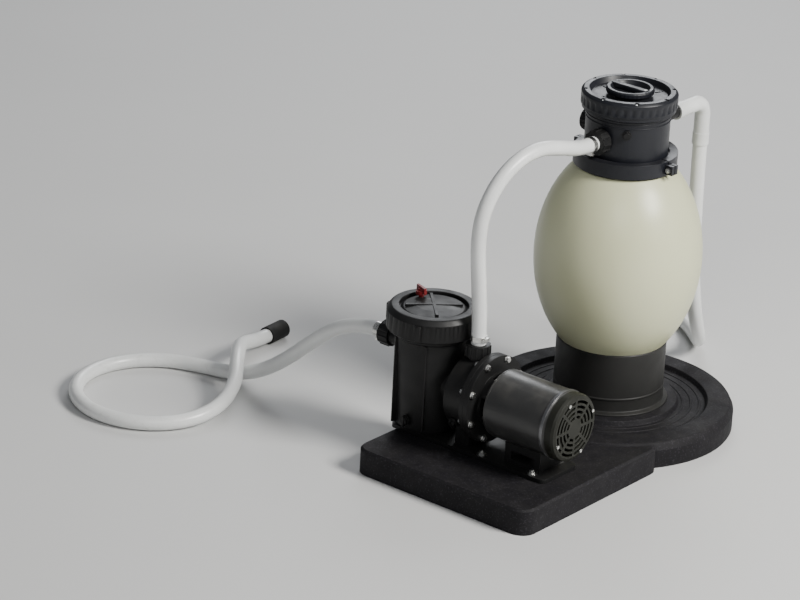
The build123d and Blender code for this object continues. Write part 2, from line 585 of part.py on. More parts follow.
def strainer_lid():
    """The lid's disc: a shallow dome with a cross rib, held down by the lid ring."""
    low, high = POT_TOP + 0.3, LID_Z1 - 9
    disc = turned([
        (0, low), (90, low), (90, high - 3), (87, high), (76, high), (70, high + 4),
        (40, high + 8), (0, high + 9),
    ])
    disc -= turned([(0, low), (76, low), (76, low + 8), (40, low + 16), (0, low + 17)])
    for turn in (45, 135):
        disc += Rot(0, 0, turn) * block(-66, 66, -3.5, 3.5, high - 2, high + 10)
    disc -= lid_vent(6.2)
    disc -= pipe(LID_SEAL_R + 1.8, LID_SEAL_R - 1.8, 3.2, (0, 0, low))
    return Pos(POT_X, PUMP_Y, 0) * disc


def lid_vent(r):
    """The bleed knob's hole, towards the back left of the lid."""
    return Rot(0, 0, 160) * rod(r, 60, (58, 0, POT_TOP - 5))


def bleed_knob():
    """A red screw that lets air out of the pot, with a winged head."""
    low = LID_Z1 + 4
    knob = rod(6.1, low - POT_TOP + 3, (0, 0, POT_TOP - 3)) + rod(13, 9, (0, 0, low))
    knob += Pos(0, 0, low + 12) * Box(34, 6, 13)
    knob += rod(8, 14, (0, 0, low))
    return Pos(POT_X, PUMP_Y, 0) * Rot(0, 0, 160) * Pos(58, 0, 0) * knob


def lid_seal():
    return Pos(POT_X, PUMP_Y, POT_TOP + 1.7) * Torus(LID_SEAL_R, 1.7)


def lid_ring():
    """The threaded ring that clamps the lid, with grip ribs round its skirt."""
    bore = THREAD_R + 0.4
    outside = [
        (bore, LID_Z0), (LID_R - 2, LID_Z0), (LID_R, LID_Z0 + 3), (LID_R, LID_Z1 - 8),
        (LID_R - 8, LID_Z1),
    ]
    inside = [
        (79, LID_Z1), (79, LID_Z1 - 8.6), (90.4, LID_Z1 - 8.6), (90.4, POT_TOP + 1), (bore, POT_TOP + 1),
    ]
    ring = turned(outside + inside)
    grip = Cylinder(3.2, LID_Z1 - LID_Z0 - 14, align=BASE_ALIGN)
    notches = around(32, LID_R + 1.2, Pos(0, 0, LID_Z0 + 3) * grip)
    ring -= joined(notches)
    ring += joined(around(4, 0, block(LID_R - 4, LID_R + 6, -7, 7, LID_Z0 + 2, LID_Z1 - 12), first=20))
    return Pos(POT_X, PUMP_Y, 0) * ring


# ------------------------------------------------------------------ motor end of the pump
def seal_plate():
    """The plate behind the impeller, with the arms that carry the motor."""
    x = VOLUTE_X1 + 0.5
    plate = rod(PLATE_R, PLATE_T) + pipe(64, 56, MOTOR_X0 - x) + rod(22, MOTOR_X0 - x - 6)
    windows = around(4, 60, Pos(0, 0, PLATE_T + 14) * Box(30, 46, 16))
    plate -= joined(windows)
    plate -= rod(SHAFT_R + 2, 60)
    plate -= rod(16, 8)
    plate -= pipe(PLATE_SEAL_R + 1.7, PLATE_SEAL_R - 1.7, 2.8)
    plate -= joined(around(PLATE_BOLTS, BOLT_CIRCLE, rod(4.3, 40), 22.5))
    return on_pump_axis(plate, x)


def plate_seal():
    return on_pump_axis(Pos(0, 0, 1.6) * Torus(PLATE_SEAL_R, 1.6), VOLUTE_X1)


def flange_bolts():
    """The bolts round the pump's flange, each with a washer under its head."""
    x = VOLUTE_X1 + 0.5 + PLATE_T
    bolt = rod(4, 34, (0, 0, -28)) + rod(8.6, 1.6) + Pos(0, 0, 1.6) * hex_head(13, 5.6)
    bolt += Pos(0, 0, -31) * hex_head(13, 6)
    return group([on_pump_axis(piece, x) for piece in around(PLATE_BOLTS, BOLT_CIRCLE, bolt, 22.5)])


def shaft_seal():
    ring = pipe(15.9, SHAFT_R + 0.6, 7.5) + pipe(11.5, SHAFT_R + 0.6, 4, (0, 0, -4))
    return on_pump_axis(ring, VOLUTE_X1 + 0.5)


def impeller():
    """A closed impeller: two shrouds with curved vanes between them."""
    back = rod(62, 3, (0, 0, 14)) + rod(15, 17)
    front = pipe(62, 24, 3) + pipe(28, 24, 6, (0, 0, -5))
    curve = ThreePointArc((20, 0), (42, 9), (60, 30))
    vane = extrude(make_face(offset(curve, 1.3, side=Side.BOTH, kind=Kind.ARC)), 14.5)
    vanes = around(5, 0, Pos(0, 0, 1.5) * vane)
    wheel = joined([back, front] + vanes) - rod(SHAFT_R, 40, (0, 0, -1))
    return on_pump_axis(wheel, VOLUTE_X1 - 24)


def motor_shaft():
    shaft = rod(SHAFT_R, SHAFT_X1 - SHAFT_X0)
    nut = Pos(0, 0, VOLUTE_X1 - 22 - SHAFT_X0 - 6) * hex_head(18, 4)
    return on_pump_axis(shaft + nut, SHAFT_X0)


def bearings():
    """A shielded ball bearing at each end of the motor's shaft."""
    places = (MOTOR_X0 + 4, MOTOR_X1 - 14)
    ring = turned([
        (SHAFT_R + SHAFT_GAP, 0), (17.9, 0), (17.9, 10), (14.5, 10), (14.5, 9), (10.5, 9), (10.5, 10),
        (SHAFT_R + SHAFT_GAP, 10),
    ])
    return group([on_pump_axis(ring, x) for x in places])


def motor_rotor():
    stack = pipe(38, SHAFT_R, 78) + pipe(30, 20, 6, (0, 0, -6)) + pipe(30, 20, 6, (0, 0, 78))
    return on_pump_axis(stack, MOTOR_X0 + 38)


def motor_stator():
    ring = pipe(MOTOR_R - 5, 38 + 0.8, 78)
    slots = around(18, 46, Pos(0, 0, 39) * Box(14, 7, 90))
    windings = [pipe(66, 46, 12, (0, 0, z)) for z in (-12, 78)]
    return on_pump_axis(joined([ring - joined(slots)] + windings), MOTOR_X0 + 38)


def cooling_fan():
    hub = pipe(18, SHAFT_R, 14)
    blade = Pos(36, 0, 7) * Rot(28, 0, 0) * Box(40, 2, 13)
    return on_pump_axis(joined([hub] + around(9, 0, blade)), MOTOR_X1 - 32)


def motor_shell():
    """The motor's drawn tube, with a front wall that holds a bearing."""
    length = MOTOR_X1 - MOTOR_X0
    tube = pipe(MOTOR_R, MOTOR_R - 4, length) + pipe(MOTOR_R, 18, 4) + pipe(24, 18, 14)
    tube -= joined(around(4, 50, rod(8, 6)))
    band = pipe(MOTOR_R + 1.5, MOTOR_R - 1, 10, (0, 0, length - 14))
    return on_pump_axis(tube + band, MOTOR_X0)


def motor_end_cap():
    """The rear cap: a bearing seat on spokes behind a round grille."""
    depth = END_CAP_X1 - MOTOR_X1 - 0.2
    cap = turned([
        (0, 0), (MOTOR_R, 0), (MOTOR_R, depth - 9), (MOTOR_R - 3, depth - 3), (MOTOR_R - 10, depth),
        (0, depth),
    ])
    cap -= rod(MOTOR_R - 5, depth - 5)
    for radius in (24, 36, 48, 60):
        ring = pipe(radius + 6.5, radius, 10, (0, 0, depth - 7))
        cap -= ring - joined([Rot(0, 0, turn) * Box(200, 7, 200) for turn in (0, 45, 90, 135)])
    seat = pipe(22, 18, depth + 12, (0, 0, -14)) + rod(22, 4, (0, 0, depth - 5))
    spokes = joined(around(4, 0, block(19, MOTOR_R - 6, -2.5, 2.5, -1, depth - 4)))
    cap = cap + seat + spokes - rod(17.95, depth + 9, (0, 0, -14))
    return on_pump_axis(cap - joined(around(4, 67, rod(2.2, 60, (0, 0, -20)), 22.5)), MOTOR_X1 + 0.2)


def end_cap_screws():
    x = END_CAP_X1 + 0.05
    screw = rod(4.2, 2.6) + rod(2, 30, (0, 0, -30)) - Pos(0, 0, 2.6) * Box(6, 1.2, 2.4)
    return group([on_pump_axis(piece, x) for piece in around(4, 67, screw, 22.5)])


def cable_gland():
    """The gland where a supply lead would enter, on the back of the motor."""
    at = (MOTOR_X1 - 40, PUMP_Y + MOTOR_R - 3, PUMP_Z)
    gland = rod(13, 9) + rod(10.5, 26) - rod(4, 40)
    gland += Pos(0, 0, 9) * hex_head(24, 7)
    seat = on_pump_axis(rod(MOTOR_R + SHAFT_GAP, 300))
    return Plane(origin=at, z_dir=BACK) * (gland - rod(4, 40)) - seat


def pump_foot():
    """The foot under the pump, with saddles for the motor, the volute and the pot."""
    y0, y1 = PUMP_Y - PUMP_FOOT_HALF, PUMP_Y + PUMP_FOOT_HALF
    x0, x1 = POT_X - 60, 232
    plate = extrude(RectangleRounded(x1 - x0, y1 - y0, 16), 10)
    plate = Pos((x0 + x1) / 2, PUMP_Y, FOOT_H + 0.1) * plate
    motor_saddle = block(100, 200, PUMP_Y - 38, PUMP_Y + 38, FOOT_H + 8, 128)
    volute_saddle = block(VOLUTE_X0 + 6, VOLUTE_X1 - 24, PUMP_Y - 40, PUMP_Y + 40, FOOT_H + 8, 120)
    pot_ring = pipe(POT_R_LOW - 8, POT_R_LOW - 26, POT_BOTTOM - FOOT_H - 8, (POT_X, PUMP_Y, FOOT_H + 8))
    foot = joined([plate, motor_saddle, volute_saddle])
    foot += pot_ring & block(-400, 400, y0, y1, 0, 400)
    foot -= on_pump_axis(rod(MOTOR_R + 0.1, 300), VOLUTE_X1 + 5)
    foot -= on_pump_axis(rod(VOLUTE_R + 0.1, 100), VOLUTE_X0 - 20)
    foot -= block(118, 182, PUMP_Y - 60, PUMP_Y + 60, FOOT_H + 18, 100)
    foot -= rod(200, 300, (POT_X, PUMP_Y, POT_BOTTOM)) & block(-400, -80, -600, 0, 0, 400)
    return foot - joined([rod(4.3, 20, (x, y, FOOT_H - 1)) for x, y in foot_bolt_places()])


def foot_bolts():
    """The bolts through the pump's foot, each on a wide washer."""
    z = FOOT_H + 10.1
    bolts = []
    for x, y in foot_bolt_places():
        bolt = rod(4, 60, (0, 0, -56)) + rod(12, 2) + Pos(0, 0, 2) * hex_head(13, 5.6)
        bolts.append(Pos(x, y, z) * (bolt + Pos(0, 0, 7.6) * rod(4, 3)))
    return group(bolts)


# ------------------------------------------------------------------ hoses and cuffs
def bend_radii(route):
    """The radius at each corner of a route: 0.45 of the shorter run beside it."""
    points = [Vector(*point) for point in route]
    radii = []
    for before, corner, after in zip(points, points[1:], points[2:]):
        run_in, run_out = corner - before, after - corner
        half_turn = radians(run_in.get_angle(run_out)) / 2
        radii.append(0.45 * min(run_in.length, run_out.length) / tan(half_turn))
    return radii


def hose(name, route):
    """A hose along its route: straight runs joined by tangent arcs."""
    radii = bend_radii(route)
    points = [Vector(*point) for point in route]
    path = FilletPolyline(*points, radius=radii)
    start = Plane(origin=points[0], z_dir=points[1] - points[0])
    tube = sweep(start * (Circle(HOSE_R) - Circle(HOSE_BORE_R)), path=path)
    section = pi * (HOSE_R**2 - HOSE_BORE_R**2)
    print(name, "length", round(path.length), "radii", [round(r) for r in radii])
    print(name, "volume over section times length", round(tube.volume / section / path.length, 4))
    return tube


def hose_cuff(route):
    """A soft cuff over the hose's end, open for the pool's own fitting."""
    last, before = Vector(*route[-1]), Vector(*route[-2])
    along = (last - before).normalized()
    start = Plane(origin=last - along * CUFF_GRIP, z_dir=along)
    cuff = rod(CUFF_R, CUFF_GRIP + CUFF_SOCKET)
    cuff -= rod(HOSE_R + 0.05, CUFF_GRIP)
    return start * (cuff - rod(CUFF_BORE_R, CUFF_SOCKET - 3, (0, 0, CUFF_GRIP + 3)) - rod(12, 80))


# ------------------------------------------------------------------ every node
def save(node, shape):
    export_step(shape, f"parts/{node}.step")


def save_tank():
    save("filter_foot", filter_foot())
    save("pump_platform", pump_platform())
    save("tank_pedestal", tank_pedestal())
    save("tank_drain", tank_drain())
    save("drain_cap", drain_cap())
    save("tank_shell", tank_shell())
    save("laterals", laterals())
    save("standpipe", standpipe())
    save("sand_bed", sand_bed())
    save("flange_seal", flange_seal())
    front, back = clamp_halves()
    save("clamp_half_front", front)
    save("clamp_half_back", back)
    save("clamp_bolts", clamp_bolts())


def save_valve():
    save("valve_body", valve_body())
    save("valve_cover", valve_cover())
    save("cover_screws", cover_screws())
    save("cover_seal", cover_seal())
    save("spoked_gasket", spoked_gasket())
    save("valve_rotor", valve_rotor())
    save("valve_spring", valve_spring())
    save("selector_knob", selector_knob())
    save("knob_pin", knob_pin())
    save("gauge_case", gauge_case())
    save("gauge_dial", gauge_dial())
    save("gauge_needle", gauge_needle())
    save("gauge_lens", gauge_lens())
    save("air_plug", air_plug())
    save("waste_cap", waste_cap())


def save_pump():
    save("pump_housing", pump_housing())
    save("drain_plugs", drain_plugs())
    save("strainer_basket", strainer_basket())
    save("strainer_lid", strainer_lid())
    save("lid_seal", lid_seal())
    save("lid_ring", lid_ring())
    save("bleed_knob", bleed_knob())
    save("seal_plate", seal_plate())
    save("plate_seal", plate_seal())
    save("flange_bolts", flange_bolts())
    save("shaft_seal", shaft_seal())
    save("impeller", impeller())
    save("motor_shaft", motor_shaft())
    save("bearings", bearings())
    save("motor_rotor", motor_rotor())
    save("motor_stator", motor_stator())
    save("cooling_fan", cooling_fan())
    save("motor_shell", motor_shell())
    save("motor_end_cap", motor_end_cap())
    save("end_cap_screws", end_cap_screws())
    save("cable_gland", cable_gland())
    save("pump_foot", pump_foot())
    save("foot_bolts", foot_bolts())


def save_hoses():
    places = fitting_places()
    nuts = [union_nut(moved_along(at, along, -NUT_OVERLAP), along) for at, along in places.values()]
    save("union_nuts", group(nuts))
    tails = [hose_tail(*places[name]) for name in ("inlet", "outlet", "valve_inlet")]
    tails.append(hose_tail(*places["valve_return"], length=ADAPTER_LEN))
    save("hose_tails", group(tails))
    save("return_elbow", return_elbow())
    bands = []
    for name in ("inlet", "outlet", "valve_inlet"):
        at, along = places[name]
        bands.append(hose_band(moved_along(at, along, NUT_LEN - NUT_OVERLAP + 8), along))
    save("hose_bands", group(bands))
    save("transfer_hose", hose("transfer_hose", TRANSFER_ROUTE))
    save("suction_hose", hose("suction_hose", SUCTION_ROUTE))
    save("return_hose", hose("return_hose", RETURN_ROUTE))
    save("suction_cuff", hose_cuff(SUCTION_ROUTE))
    save("return_cuff", hose_cuff(RETURN_ROUTE))


os.makedirs("parts", exist_ok=True)
save_tank()
save_valve()
save_pump()
save_hoses()
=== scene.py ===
import json
from math import cos, pi, radians, sin, tan

import bmesh
import bpy
from mathutils import Matrix, Vector


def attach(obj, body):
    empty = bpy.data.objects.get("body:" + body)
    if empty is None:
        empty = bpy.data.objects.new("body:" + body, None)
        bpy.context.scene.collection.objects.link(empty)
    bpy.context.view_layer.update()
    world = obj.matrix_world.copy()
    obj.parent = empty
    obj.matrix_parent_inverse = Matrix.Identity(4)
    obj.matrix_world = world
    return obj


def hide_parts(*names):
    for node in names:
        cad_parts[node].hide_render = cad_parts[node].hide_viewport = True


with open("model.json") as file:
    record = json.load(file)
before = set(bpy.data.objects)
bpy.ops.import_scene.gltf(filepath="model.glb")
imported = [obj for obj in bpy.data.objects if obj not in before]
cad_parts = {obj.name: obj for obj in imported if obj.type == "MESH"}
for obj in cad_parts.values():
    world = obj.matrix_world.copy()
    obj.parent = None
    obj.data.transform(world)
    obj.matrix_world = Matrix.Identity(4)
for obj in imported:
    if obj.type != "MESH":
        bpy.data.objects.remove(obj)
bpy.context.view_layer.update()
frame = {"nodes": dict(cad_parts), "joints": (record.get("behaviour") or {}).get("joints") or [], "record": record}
NODES = frame["nodes"]


# ------------------------------------------------------------------ sizes in metres, angles in radians
def joint_at(name):
    """A point on a joint's axis, from the frame."""
    return Vector(next(joint["pos_m"] for joint in frame["joints"] if joint["name"] == name))


def axis_at_floor(name):
    """Where the upright axis of a joint meets the floor."""
    return joint_at(name).xy.to_3d()


MM = 0.001
TANK = axis_at_floor("selector_turn")
POT = axis_at_floor("lid_ring_turn")
SHAFT = joint_at("motor_spin")
COVER_SCREW_CIRCLE, MARK_CIRCLE = 0.103, 0.070
FLANGE_FACE, FLANGE_BOLT_CIRCLE = 0.0345, 0.094
GAUGE_HEIGHT, GAUGE_TURN = joint_at("gauge_needle").z, radians(135)
DIAL_FACE, TICK_END = 0.1162, 0.0205
HOSE_DIAMETER = 0.035
SHARP_EDGE = radians(32)
EGG_RADIUS, EGG_HALF_HEIGHT, EGG_MIDDLE = 197.0, 272.0, 418.0  # in millimetres

# the hoses' routes: the same points as the CAD's, end to end
TRANSFER_ROUTE = [
    (-0.022, -0.285, 0.310), (-0.022, -0.285, 0.357), (-0.022, -0.292, 0.426),
    (-0.021, -0.303, 0.495), (-0.019, -0.313, 0.564), (-0.015, -0.308, 0.633),
    (-0.008, -0.273, 0.695), (0.000, -0.216, 0.738), (0.009, -0.146, 0.754),
    (0.018, -0.077, 0.740), (0.025, -0.008, 0.722), (0.025, 0.042, 0.722),
]
SUCTION_ROUTE = [
    (-0.297, -0.285, 0.256), (-0.351, -0.285, 0.256), (-0.435, -0.288, 0.226),
    (-0.508, -0.291, 0.166), (-0.575, -0.296, 0.104), (-0.647, -0.303, 0.051),
    (-0.729, -0.313, 0.021), (-0.818, -0.328, 0.0175), (-0.901, -0.360, 0.0175),
    (-0.961, -0.425, 0.0175), (-0.986, -0.510, 0.0175), (-0.969, -0.598, 0.0175),
    (-0.914, -0.668, 0.0175), (-0.833, -0.706, 0.0175), (-0.745, -0.702, 0.0175),
    (-0.667, -0.659, 0.018), (-0.617, -0.586, 0.021), (-0.606, -0.497, 0.032),
    (-0.634, -0.415, 0.054), (-0.691, -0.347, 0.073), (-0.747, -0.277, 0.073),
    (-0.797, -0.204, 0.048), (-0.822, -0.119, 0.022), (-0.826, -0.060, 0.022),
]
RETURN_ROUTE = [
    (0.025, 0.475, 0.640), (0.025, 0.475, 0.582), (0.025, 0.477, 0.500),
    (0.025, 0.480, 0.418), (0.024, 0.486, 0.335), (0.023, 0.497, 0.254),
    (0.020, 0.518, 0.175), (0.008, 0.557, 0.104), (-0.021, 0.612, 0.051),
    (-0.067, 0.672, 0.024), (-0.127, 0.729, 0.0175), (-0.198, 0.770, 0.018),
    (-0.276, 0.794, 0.022), (-0.334, 0.798, 0.022),
]


# ------------------------------------------------------------------ materials
class Graph:
    """A material's node tree, with short ways to add and join nodes."""

    def __init__(self, name):
        self.material = bpy.data.materials.new(name)
        self.material.use_nodes = True
        self.tree = self.material.node_tree
        self.shader = self.tree.nodes["Principled BSDF"]
        self.place = self.add("ShaderNodeTexCoord").outputs["Object"]

    def add(self, kind, **settings):
        node = self.tree.nodes.new(kind)
        for key, value in settings.items():
            setattr(node, key, value)
        return node

    def join(self, source, target):
        self.tree.links.new(source, target)

    def noise(self, scale, detail=2.0, stretch=None):
        """A noise value over the surface, finer along an axis whose stretch is over 1."""
        node = self.add("ShaderNodeTexNoise")
        node.inputs["Scale"].default_value = scale
        node.inputs["Detail"].default_value = detail
        place = self.place
        if stretch:
            mapping = self.add("ShaderNodeMapping")
            mapping.inputs["Scale"].default_value = stretch
            self.join(place, mapping.inputs["Vector"])
            place = mapping.outputs["Vector"]
        self.join(place, node.inputs["Vector"])
        return node.outputs["Fac"]

    def spread(self, value, low, high, start=0.3, end=0.7):
        """Maps the part of a value between start and end to a range."""
        node = self.add("ShaderNodeMapRange")
        self.join(value, node.inputs["Value"])
        node.inputs["From Min"].default_value = start
        node.inputs["From Max"].default_value = end
        node.inputs["To Min"].default_value = low
        node.inputs["To Max"].default_value = high
        return node.outputs["Result"]

    def blend(self, factor, first, second):
        """Mixes two colours: each is a tuple or another node's output."""
        node = self.add("ShaderNodeMix", data_type="RGBA")
        self.join(factor, node.inputs["Factor"])
        for name, colour in (("A", first), ("B", second)):
            socket = [s for s in node.inputs if s.name == name and s.type == "RGBA"][0]
            if isinstance(colour, tuple):
                socket.default_value = (*colour, 1.0)
            else:
                self.join(colour, socket)
        return [s for s in node.outputs if s.type == "RGBA"][0]

    def times(self, first, second):
        """The product of two values."""
        node = self.add("ShaderNodeMath", operation="MULTIPLY")
        self.join(first, node.inputs[0])
        self.join(second, node.inputs[1])
        return node.outputs[0]

    def facing_up(self):
        """1 on surfaces that face up, 0 on sides and undersides."""
        geometry = self.add("ShaderNodeNewGeometry")
        split = self.add("ShaderNodeSeparateXYZ")
        self.join(geometry.outputs["Normal"], split.inputs[0])
        return self.spread(split.outputs["Z"], 0.0, 1.0, start=0.4, end=1.0)

    def height(self):
        """The height above the floor, in metres."""
        split = self.add("ShaderNodeSeparateXYZ")
        self.join(self.place, split.inputs[0])
        return split.outputs["Z"]

    def relief(self, value, depth, strength, edge=0.0):
        """A bump from a value, on top of edges that the light sees as rounded."""
        bump = self.add("ShaderNodeBump")
        bump.inputs["Strength"].default_value = strength
        bump.inputs["Distance"].default_value = depth
        self.join(value, bump.inputs["Height"])
        if edge:
            rounding = self.add("ShaderNodeBevel", samples=4)
            rounding.inputs["Radius"].default_value = edge
            self.join(rounding.outputs["Normal"], bump.inputs["Normal"])
        self.join(bump.outputs["Normal"], self.shader.inputs["Normal"])

    def colour(self, output):
        self.join(output, self.shader.inputs["Base Color"])

    def rough(self, value, low, high):
        self.join(self.spread(value, low, high), self.shader.inputs["Roughness"])


def shade(colour, factor):
    """A colour made darker or lighter."""
    return tuple(min(1.0, c * factor) for c in colour)


def moulded(name, colour, rough, grain=700.0, depth=0.00025, specks=0.0, dust=0.12, shine=0.5):
    """Moulded plastic: slightly uneven colour, a fine grain, a little dust on top."""
    g = Graph(name)
    g.shader.inputs["Specular IOR Level"].default_value = shine
    base = g.blend(g.spread(g.noise(7.0, 4.0), 0.0, 1.0), shade(colour, 0.82), shade(colour, 1.16))
    if specks:
        dots = g.spread(g.noise(grain * 0.6, 1.0), 0.0, 1.0, 0.58, 0.7)
        base = g.blend(dots, base, shade(colour, 1.0 + specks))
    if dust:
        patches = g.spread(g.noise(23.0, 5.0), 0.0, dust, 0.35, 0.75)
        settled = g.times(g.facing_up(), patches)
        base = g.blend(settled, base, (0.36, 0.34, 0.30))
    g.colour(base)
    g.rough(g.noise(31.0, 4.0), rough - 0.06, rough + 0.08)
    g.relief(g.noise(grain), depth, 0.5, edge=0.0012)
    return g.material


def tank_skin():
    """Blow-moulded cream plastic: soft gloss, faint flow marks, darker in blotches low down."""
    g = Graph("tank_skin")
    cream, warm = (0.620, 0.630, 0.425), (0.565, 0.570, 0.365)
    base = g.blend(g.spread(g.noise(4.0, 3.0, stretch=(1, 1, 0.35)), 0.0, 1.0), cream, warm)
    # colour darkened in blotches towards the bottom, fading out between 0.17 m and 0.27 m up
    low = g.spread(g.height(), 1.0, 0.0, 0.17, 0.27)
    darker_low_down = g.times(low, g.spread(g.noise(17.0, 6.0), 0.0, 0.5, 0.35, 0.75))
    g.colour(g.blend(darker_low_down, base, (0.22, 0.20, 0.14)))
    g.rough(g.noise(12.0, 4.0), 0.30, 0.42)
    g.relief(g.noise(60.0, 3.0), 0.0004, 0.35)
    g.shader.inputs["Coat Weight"].default_value = 0.15
    g.shader.inputs["Coat Roughness"].default_value = 0.25
    return g.material


def metal(name, colour, rough, stretch=(1, 1, 1)):
    """Plated, ground or laminated steel with fine scratches."""
    g = Graph(name)
    g.shader.inputs["Metallic"].default_value = 1.0
    g.colour(g.blend(g.spread(g.noise(90.0, 4.0), 0.0, 1.0), shade(colour, 0.8), shade(colour, 1.1)))
    lines = g.noise(900.0, 3.0, stretch=stretch)
    g.rough(lines, rough - 0.06, rough + 0.12)
    g.relief(lines, 0.00008, 0.4, edge=0.0004)
    return g.material


def motor_paint():
    """Satin dark grey paint on the motor's drawn tube."""
    g = Graph("motor_paint")
    grey = (0.030, 0.030, 0.030)
    base = g.blend(g.spread(g.noise(14.0, 5.0), 0.0, 1.0), shade(grey, 0.85), shade(grey, 1.15))
    settled = g.times(g.facing_up(), g.spread(g.noise(30.0, 6.0), 0.0, 0.12, 0.4, 0.7))
    g.colour(g.blend(settled, base, (0.34, 0.32, 0.28)))
    g.rough(g.noise(40.0, 3.0), 0.30, 0.40)
    g.relief(g.noise(1200.0), 0.00012, 0.4, edge=0.001)
    return g.material


def hose_plastic():
    """Soft white PVC, slightly uneven, with scuffs from the ground."""
    g = Graph("hose_plastic")
    white = (0.74, 0.75, 0.74)
    base = g.blend(g.spread(g.noise(9.0, 4.0), 0.0, 1.0), shade(white, 0.93), shade(white, 1.05))
    scuffs = g.spread(g.noise(70.0, 6.0, stretch=(1, 1, 2)), 0.0, 0.35, 0.56, 0.75)
    low = g.times(g.spread(g.height(), 1.0, 0.0, 0.0, 0.06), scuffs)
    g.colour(g.blend(low, base, (0.33, 0.31, 0.26)))
    g.rough(g.noise(50.0, 3.0), 0.28, 0.42)
    g.relief(g.noise(350.0), 0.0003, 0.35)
    g.shader.inputs["Coat Weight"].default_value = 0.2
    g.shader.inputs["Coat Roughness"].default_value = 0.2
    return g.material


def clear_lens():
    """The gauge's clear window, faintly tinted and worn."""
    g = Graph("clear_lens")
    g.shader.inputs["Transmission Weight"].default_value = 1.0
    g.shader.inputs["IOR"].default_value = 1.49
    g.colour(g.blend(g.noise(20.0), (0.93, 0.95, 0.95), (0.98, 0.99, 0.99)))
    g.rough(g.noise(60.0, 4.0), 0.02, 0.08)
    return g.material


MATERIALS = {
    "foot_black": moulded(
        "foot_grain", (0.0078, 0.0072, 0.0088), 0.68, grain=420.0, depth=0.0006, specks=2.0, dust=0.02,
        shine=0.22,
    ),
    "pedestal_grey": moulded("pedestal_plastic", (0.0150, 0.0148, 0.0140), 0.50, dust=0.03, shine=0.32),
    "tank_cream": tank_skin(),
    "valve_black": moulded("valve_plastic", (0.0090, 0.0098, 0.0135), 0.36, dust=0.03, shine=0.36),
    "pump_black": moulded("pump_plastic", (0.0078, 0.0078, 0.0080), 0.47, dust=0.02, shine=0.30),
    "motor_grey": motor_paint(),
    "cap_olive": moulded("cap_plastic", (0.0105, 0.0110, 0.0075), 0.48, dust=0.03, shine=0.32),
    "steel": metal("plated_steel", (0.66, 0.66, 0.64), 0.26),
    "shaft_steel": metal("ground_steel", (0.52, 0.52, 0.52), 0.22, (1, 0.05, 0.05)),
    "core_steel": metal("laminated_steel", (0.22, 0.22, 0.23), 0.42, (6, 1, 1)),
    "hose_white": hose_plastic(),
    "elbow_white": moulded("elbow_plastic", (0.68, 0.69, 0.68), 0.36, dust=0.08),
    "rubber": moulded("black_rubber", (0.010, 0.010, 0.010), 0.72, grain=500.0, shine=0.3),
    "bleed_red": moulded("red_plastic", (0.150, 0.010, 0.012), 0.42, dust=0.03),
    "inner_white": moulded("white_plastic", (0.58, 0.58, 0.55), 0.42, dust=0.0),
    "sand": moulded("filter_sand", (0.46, 0.38, 0.25), 0.85, grain=900.0, depth=0.0012, specks=0.5),
    "dial_white": moulded("dial_card", (0.78, 0.78, 0.75), 0.55, dust=0.0),
    "lens_clear": clear_lens(),
}


def dress(obj, slot):
    """Gives a mesh or a curve its slot's material and no other."""
    obj.data.materials.clear()
    obj.data.materials.append(MATERIALS[slot])


for part in frame["record"]["subparts"]:
    dress(NODES[part["node"]], part["material_slot"])


# ------------------------------------------------------------------ mesh helpers
X_DIR, Z_DIR = Vector((1, 0, 0)), Vector((0, 0, 1))


def softened(points, closed):
    """Points (x, y, rounding) with each rounded corner turned into a short curve."""
    count = len(points)
    line = []
    for i, (x, y, rounding) in enumerate(points):
        corner = Vector((x, y))
        if not rounding or (not closed and i in (0, count - 1)):
            line.append(corner)
            continue
        before = Vector(points[i - 1][:2]) - corner
        after = Vector(points[(i + 1) % count][:2]) - corner
        half = before.angle(after) / 2
        reach = min(rounding / tan(half), 0.45 * before.length, 0.45 * after.length)
        start, end = corner + before.normalized() * reach, corner + after.normalized() * reach
        for t in (0.0, 0.25, 0.5, 0.75, 1.0):
            line.append(start * (1 - t) ** 2 + corner * 2 * t * (1 - t) + end * t**2)
    return line


def frame_at(at, along):
    """The matrix that puts +Z along a direction from a point."""
    turn = Vector(along).to_track_quat("Z", "Y").to_matrix().to_4x4()
    return Matrix.Translation(Vector(at)) @ turn


def new_piece(name, mesh_data, body, slot, stands_for=()):
    """A finished mesh becomes a piece: smooth but for its sharp edges, dressed, and riding on a body."""
    mesh = bpy.data.meshes.new(name)
    bmesh.ops.remove_doubles(mesh_data, verts=mesh_data.verts, dist=1e-6)
    bmesh.ops.recalc_face_normals(mesh_data, faces=mesh_data.faces)
    mesh_data.to_mesh(mesh)
    mesh_data.free()
    mesh.shade_smooth()
    mesh.set_sharp_from_angle(angle=SHARP_EDGE)
    piece = bpy.data.objects.new(name, mesh)
    bpy.context.scene.collection.objects.link(piece)
    dress(piece, slot)
    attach(piece, body)
    if stands_for:
        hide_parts(*stands_for)
    return piece


def add_turned(mesh_data, profile, place, segments, closed=False, wave=None):
    """Adds a turned form from (radius, height, rounding) points in millimetres."""
    line = softened(profile, closed)
    rings = []
    for point in line:
        radius, height = point.x, point.y
        if radius < 1e-6:
            rings.append([mesh_data.verts.new(place @ Vector((0, 0, height * MM)))])
            continue
        ring = []
        for i in range(segments):
            angle = 2 * pi * i / segments
            r = (radius + (wave(angle, radius, height) if wave else 0.0)) * MM
            spot = Vector((r * cos(angle), r * sin(angle), height * MM))
            ring.append(mesh_data.verts.new(place @ spot))
        rings.append(ring)
    pairs = list(zip(rings, rings[1:]))
    if closed:
        pairs.append((rings[-1], rings[0]))
    for first, second in pairs:
        for i in range(segments):
            corners = [first[i % len(first)], first[(i + 1) % len(first)]]
            corners += [second[(i + 1) % len(second)], second[i % len(second)]]
            unique = list(dict.fromkeys(corners))
            if len(unique) > 2:
                mesh_data.faces.new(unique)


